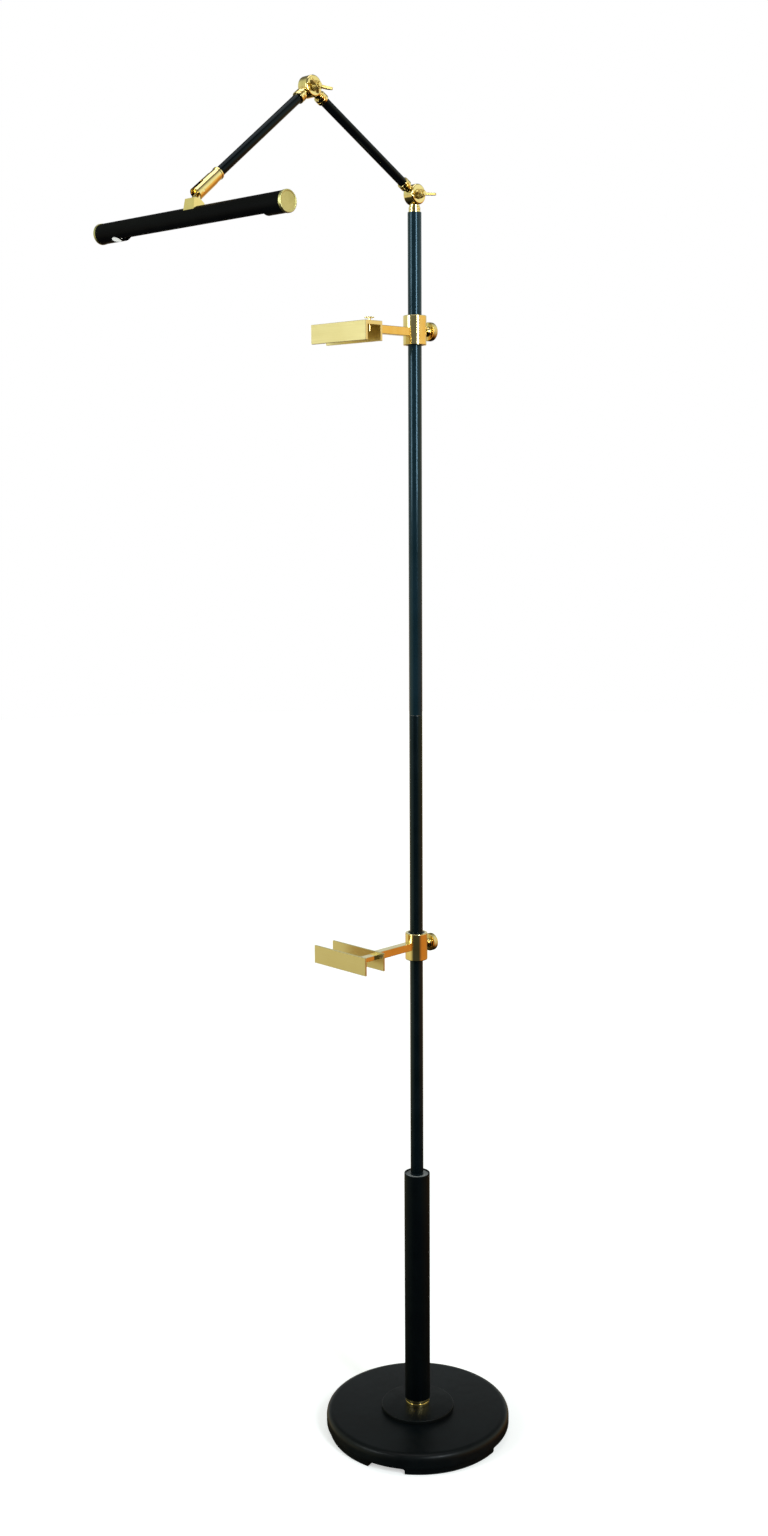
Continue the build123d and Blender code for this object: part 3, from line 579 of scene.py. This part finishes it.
def base_piece():
    low, high = span_of("base_casting", "Z")
    outline = rounded([
        (ROD_HOLE_R, high, 0), (BASE_R, high, 11), (BASE_R, FOOT_TOP, 2.0), (FOOT_R, FOOT_TOP, 0.8),
        (FOOT_R, low, 1.6), (RECESS_R, low, 1.2), (RECESS_R, RECESS_TOP, 4), (ROD_HOLE_R, RECESS_TOP, 0),
    ], 9)
    tools = [notch_tool(centre) for centre in NOTCH_CENTRES] + [cord_slot_tool()]
    piece = finish_mesh("base_casting_fine", cut(revolved(outline, 240), tools), UPRIGHT, "black_base")
    stand_in(piece, "stand", "black_base", "base_casting")


# ---- knurled pieces ----
KNOB_RIM_R = 13.5
KNOB_RIM = (27.2, 34.2)  # distances from the stem's axis between which the rim is knurled
KNOB_PROFILE = [
    # shank and foot, waist, back of the rim, rim, lip of the dish
    (3.0, 17.4), (5.4, 17.4), (6.0, 18.0), (6.0, 20.0),
    (5.2, 21.6), (5.0, 23.2), (5.6, 25.0), (7.0, 26.2),
    (8.2, 26.5), (12.5, 26.5), (13.1, 26.8), (13.5, 27.4),
    (13.5, 34.0), (13.1, 34.7), (12.5, 35.0), (10.8, 35.0), (10.3, 34.7), (10.0, 34.2),
]
THUMB_R = 6.9
THUMB_RIM = (-1.4, -0.3)  # knurled part, measured from the top
THUMB_HEAD = [
    # radius, and height measured from the top
    (2.0, -2.0), (2.3, -1.7), (6.3, -1.7), (THUMB_R, -1.3), (THUMB_R, -0.4), (6.4, 0), (4.6, 0), (4.2, -0.25),
]


def knurled(outline, low, high, rim, teeth, depth):
    """Turned mesh whose rim between two heights carries straight knurling."""

    def wobble(angle, radius, height):
        if radius < rim - depth * 2 or not low <= height <= high:
            return radius
        return radius - depth * (0.5 - 0.5 * cos(teeth * angle))

    return revolved(outline, teeth * 4, wobble)


def faced(radius, height, pitch, depth):
    """Outline points of a turned face, from a radius in to the middle, with shallow rings."""
    points = []
    r = radius
    while r > pitch:
        points += [(r, height), (r - pitch * 0.5, height - depth)]
        r -= pitch
    return points + [(r, height), (AXIS_R, height)]


def knob_piece(node, body):
    """Clamp knob: knurled rim, dished face with turned rings, waisted neck and plain shank."""
    matrix = frame_along(Vector((0, 0, centre_of(node).z)), BACKWARDS)
    tip = span_of(node, "Y")[0]
    outline = [(AXIS_R, tip), (2.6, tip), (3.0, tip + 0.45)] + KNOB_PROFILE + faced(9.8, 34.2, 1.5, 0.12)
    mesh = knurled(outline, *KNOB_RIM, KNOB_RIM_R, 60, 0.45)
    stand_in(finish_mesh(node + "_fine", mesh, matrix, "polished_brass", 40), body, "polished_brass", node)


def thumb_screw_piece():
    """Small thumb screw: plain shank and a thin knurled head with a turned face."""
    middle = centre_of("upper_thumb_screw")
    low, high = span_of("upper_thumb_screw", "Z")
    outline = [(AXIS_R, low), (1.5, low), (2.0, low + 0.5)] + [(r, high + z) for r, z in THUMB_HEAD]
    outline += faced(4.0, high - 0.25, 1.1, 0.08)
    matrix = Matrix.Translation(Vector((middle.x, middle.y, 0)))
    mesh = knurled(outline, high + THUMB_RIM[0], high + THUMB_RIM[1], THUMB_R, 40, 0.35)
    piece = finish_mesh("upper_thumb_screw_fine", mesh, matrix, "polished_brass", 40)
    stand_in(piece, "upper_thumb", "polished_brass", "upper_thumb_screw")


# ---- light bar ends ----
CAP_PROFILE = [
    # radius, and height measured from the cap's outer face: plug, rim, bevel, step down to the sunk face
    (AXIS_R, -5.5), (9.9, -5.5), (10.2, -5.8), (10.2, -12.0), (12.0, -12.0), (12.15, -11.6), (12.15, -4.0),
    (13.6, -4.0), (13.9, -3.7), (13.9, -0.7), (13.75, -0.3), (13.3, 0.0), (12.3, 0.0), (12.0, -0.15),
    (11.9, -0.5),
]


def cap_piece(node, station, outward):
    """End cap with a bright bevelled rim, a sunk face of turned rings and a plug in the tube."""
    mesh = revolved(CAP_PROFILE + faced(11.6, -0.5, 1.35, 0.16), 128)
    piece = finish_mesh(node + "_fine", mesh, along_bar(station, outward), "turned_brass", 40)
    stand_in(piece, "light_bar", "turned_brass", node)


# ---- bulbs ----
GLASS_R = 8.0
GLASS_START = 0.5
GLASS_ROOT = 4  # how far the rounded root reaches
GLASS_DOME = 7  # how far the domed tip reaches
GLASS_LEN = 84
CAP_LEN = 18
THREAD_TURNS = 5
THREAD_PITCH = 2.8
THREAD_START = -14.6
THREAD_CREST_R = 6.8
THREAD_ROOT_R = 6.2


def glass_outline():
    """Opal tube with a rounded root and a domed tip."""
    points = [(AXIS_R, GLASS_START)]
    for k in range(1, 9):
        t = pi / 2 * k / 8
        points.append((GLASS_R * sin(t), GLASS_START + GLASS_ROOT - GLASS_ROOT * cos(t)))
    for k in range(12):
        t = pi / 2 * k / 12
        points.append((GLASS_R * cos(t), GLASS_LEN - GLASS_DOME + GLASS_DOME * sin(t)))
    return points + [(AXIS_R, GLASS_LEN)]


def bulb_cap_outline():
    """Contact, shoulder, threaded shell and the collar round the glass."""
    points = [(AXIS_R, -CAP_LEN), (2.2, -CAP_LEN), (2.6, -17.2), (5.6, -15.6)]
    for turn in range(THREAD_TURNS):
        crest = THREAD_START + THREAD_PITCH * turn
        points += [(THREAD_CREST_R, crest), (THREAD_ROOT_R, crest + THREAD_PITCH / 2)]
    return points + [(THREAD_CREST_R, -0.6), (THREAD_CREST_R, 1.2), (AXIS_R, 1.2)]


def bulb_pieces():
    """Two bulbs that face each other, one from each end of the opening: their glasses and their caps."""
    low, high = span_of("tubular_bulbs", "X")
    ends = [(low + CAP_LEN, 1), (high - CAP_LEN, -1)]
    for name, outline, finish in (
        ("bulb_glasses", glass_outline(), "bulb_glass"),
        ("bulb_caps", bulb_cap_outline(), "steel"),
    ):
        pair = []
        for station, facing in ends:
            mesh = revolved(outline, 64)
            mesh.transform(along_bar(station, facing))
            pair.append(mesh)
        piece = finish_mesh(name, joined(pair), UPRIGHT, finish)
        stand_in(piece, "light_bar", finish, "tubular_bulbs")


# ---- wing nuts ----
WING_HUB = [(3.3, 0.1), (6.7, 0.1), (6.8, 0.6), (4.9, 7.6), (4.6, 7.9), (3.3, 7.9)]
WING_EAR = [
    # out along the axis, across it, corner radius
    (1.0, 3.5, 0), (2.0, 9.0, 2), (6.5, 16.0, 3), (12.0, 20.6, 2.6),
    (14.4, 19.2, 2.4), (11.6, 14.0, 3), (7.2, 5.0, 1),
]
WING_EAR_HALF_T = 1.75


def wing_nut_piece(node, body, pivot, turn):
    """Cast wing nut: a bored hub and two thick ears melted together and softened."""
    hub = revolved(WING_HUB, 64)
    hub.transform(Matrix.Rotation(radians(90), 4, "Y"))
    ear = prism(rounded(WING_EAR, 5), -WING_EAR_HALF_T, WING_EAR_HALF_T)
    other = ear.copy()
    other.transform(Matrix.Rotation(pi, 4, "X"))
    holder = placed("scratch", joined([hub, ear, other]))
    melt = holder.modifiers.new("melt", "REMESH")
    melt.mode = "VOXEL"
    melt.voxel_size = 0.3
    soften = holder.modifiers.new("soften", "SMOOTH")
    soften.iterations = 6
    soften.factor = 0.5
    place = Matrix.Translation(Vector((span_of(node, "X")[0], pivot.y, pivot.z)))
    matrix = place @ Matrix.Rotation(radians(turn), 4, "X")
    piece = finish_mesh(node + "_fine", settled(holder), matrix, "cast_brass", 60)
    stand_in(piece, body, "polished_brass", node)


def all_pieces():
    stand_pieces()
    base_piece()
    arm_pieces()
    knob_piece("upper_clamp_knob", "upper_knob")
    knob_piece("lower_clamp_knob", "lower_knob")
    thumb_screw_piece()
    cap_piece("bar_near_cap", BAR_NEAR, 1)
    cap_piece("bar_far_cap", BAR_FAR, -1)
    bulb_pieces()
    wing_nut_piece("shoulder_wing_nut", "shoulder_nut", SHOULDER, 0)
    wing_nut_piece("elbow_wing_nut", "elbow_nut", ELBOW, -10)


all_pieces()


# ---- camera ----
CAMERA_PLACE = Vector((1.76271, -1.84425, 1.48741))
CAMERA_RIGHT = Vector((0.71034702, 0.70382918, -0.00562141))
CAMERA_UP = Vector((-0.10902975, 0.11792264, 0.98701913))
CAMERA_LENS = 40.12


def add_camera():
    data = bpy.data.cameras.new("camera")
    data.sensor_width = 36
    data.lens = CAMERA_LENS
    camera = placed("camera", data)
    turn = Matrix((CAMERA_RIGHT, CAMERA_UP, CAMERA_RIGHT.cross(CAMERA_UP))).transposed()
    camera.matrix_world = Matrix.Translation(CAMERA_PLACE) @ turn.to_4x4()
    bpy.context.scene.camera = camera


# ---- studio, in metres ----
FLOOR_R = 9.0
FLOOR_DROP = 0.0002  # keeps the floor clear of the felt
FLOOR_GLOW = {"low": 0.50, "high": 0.95, "start": 0.8, "end": 5.0}  # strengths, and distances where they hold
SOFTBOX_DISTANCE = 2.6
SOFTBOX_LOW = 1.42
SOFTBOX_HIGH = 3.0


def add_floor():
    """Wide white floor that glows a little, more so far away, like a lit paper sweep."""
    made = Finish("floor_paper", Specular_IOR_Level=0.0, Roughness=0.9, Emission_Color=(1, 1, 1, 1))
    distance = made.vector_math("LENGTH", made.coords, output="Value")
    made.link(made.between(distance, **FLOOR_GLOW), "Emission Strength")
    tone = made.between(made.noise(3, 3), 0, 1)
    made.link(made.tint(tone, (0.86, 0.86, 0.86), (0.90, 0.90, 0.90)), "Base Color")
    bm = bmesh.new()
    bmesh.ops.create_circle(bm, cap_ends=True, segments=96, radius=FLOOR_R)
    mesh = mesh_from(bm, "floor")
    mesh.materials.append(made.material)
    floor = placed("floor", mesh)
    floor.location.z = -FLOOR_DROP
    floor.visible_glossy = False


def area_light(name, width, tall, radiance, colour=(1, 1, 1)):
    data = bpy.data.lights.new(name, "AREA")
    data.shape = "RECTANGLE"
    data.size = width
    data.size_y = tall
    data.energy = 4 * width * tall * radiance
    data.color = colour
    return placed(name, data)


def add_softbox(name, azimuth, width, radiance, colour):
    """Upright light that faces the stem."""
    light = area_light(name, width, SOFTBOX_HIGH - SOFTBOX_LOW, radiance, colour)
    outward = Vector((cos(radians(azimuth)), sin(radians(azimuth)), 0))
    middle = outward * SOFTBOX_DISTANCE + UP * (SOFTBOX_LOW + SOFTBOX_HIGH) / 2
    light.matrix_world = frame_along(middle, outward, UP.cross(outward))


def add_top_light():
    light = area_light("top", 2.0, 2.0, 1.2)
    light.location = (0, 0, 4.2)


# Heights below are those of a direction's unit vector, so 0 is the horizon and 1 straight up.
LEFT_GLOW = {
    "azimuth": -140, "start": 0.45, "full": 0.90, "strength": 0.64,
    "colours": ((1.15, 1.05, 0.62), (0.82, 0.82, 0.60), (0.80, 0.90, 0.66)),
}
RIGHT_GLOW = {
    "azimuth": 42, "start": 0.45, "full": 0.90, "strength": 0.90,
    "colours": ((0.62, 0.22, 0.015), (0.90, 0.58, 0.16), (0.90, 0.95, 0.80)),
}
BACK_GLOW = {
    "azimuth": 135, "start": 0.55, "full": 0.90, "strength": 0.60,
    "colours": ((1.0, 0.62, 0.25), (0.96, 0.98, 0.90), (0.82, 0.92, 1.0)),
}
FILL_COLOUR = (0.95, 1.0, 0.90)
WHITE = (1, 1, 1, 1)


def add_world():
    """White to the eye. To the lamp it is a studio: three coloured glows round the sides, dark in front."""
    world = bpy.data.worlds.new("studio")
    world.use_nodes = True
    bpy.context.scene.world = world
    tree = world.node_tree
    tree.nodes.clear()
    add = partial(add_node, tree)
    ramp = partial(smooth_range, tree)
    mixed = partial(mixed_colour, tree)

    def scaled(colour, strength):
        return add("VectorMath", {0: colour, "Scale": strength}, operation="SCALE").outputs[0]

    coords = add("TexCoord", {}).outputs["Generated"]
    height = add("SeparateXYZ", {0: coords}).outputs[2]
    above_table = ramp(height, -0.22, 0.02, 0.0, 1.0)
    above_head = ramp(height, 0.10, 0.15, 0.0, 1.0)

    def glow(azimuth, start, full, strength, colours):
        """Light round one azimuth, from the cosine where it starts to the one where it is full."""
        towards = (cos(radians(azimuth)), sin(radians(azimuth)), 0)
        facing = add("VectorMath", {0: coords, 1: towards}, operation="DOT_PRODUCT").outputs["Value"]
        low_colour, middle_colour, high_colour = colours
        tint = mixed(above_head, mixed(above_table, low_colour, middle_colour), high_colour)
        return scaled(tint, ramp(facing, start, full, 0, strength))

    fill = scaled(FILL_COLOUR, ramp(height, -0.10, 0.12, 0.05, 0.16))
    back = scaled(glow(**BACK_GLOW), ramp(height, 0.28, 0.45, 1.0, 0.05))
    light = fill
    for one in (glow(**LEFT_GLOW), glow(**RIGHT_GLOW), back):
        light = add("VectorMath", {0: light, 1: one}, operation="ADD").outputs[0]
    light = scaled(light, ramp(height, -0.42, -0.27, 0.06, 1.0))
    studio = add("Background", {"Color": light, "Strength": 1.0})
    seen = add("Background", {"Color": WHITE, "Strength": 1.0})
    ray = add("LightPath", {}).outputs["Is Camera Ray"]
    mix = add("MixShader", {0: ray, 1: studio.outputs[0], 2: seen.outputs[0]})
    add("OutputWorld", {"Surface": mix.outputs[0]})


add_camera()
add_floor()
add_world()
add_softbox("softbox_right", -16, 0.55, 16, (0.86, 0.95, 1.0))
add_softbox("softbox_left", -108, 0.8, 6, (0.9, 0.97, 1.0))
add_top_light()
bpy.context.scene.view_settings.view_transform = "Standard"
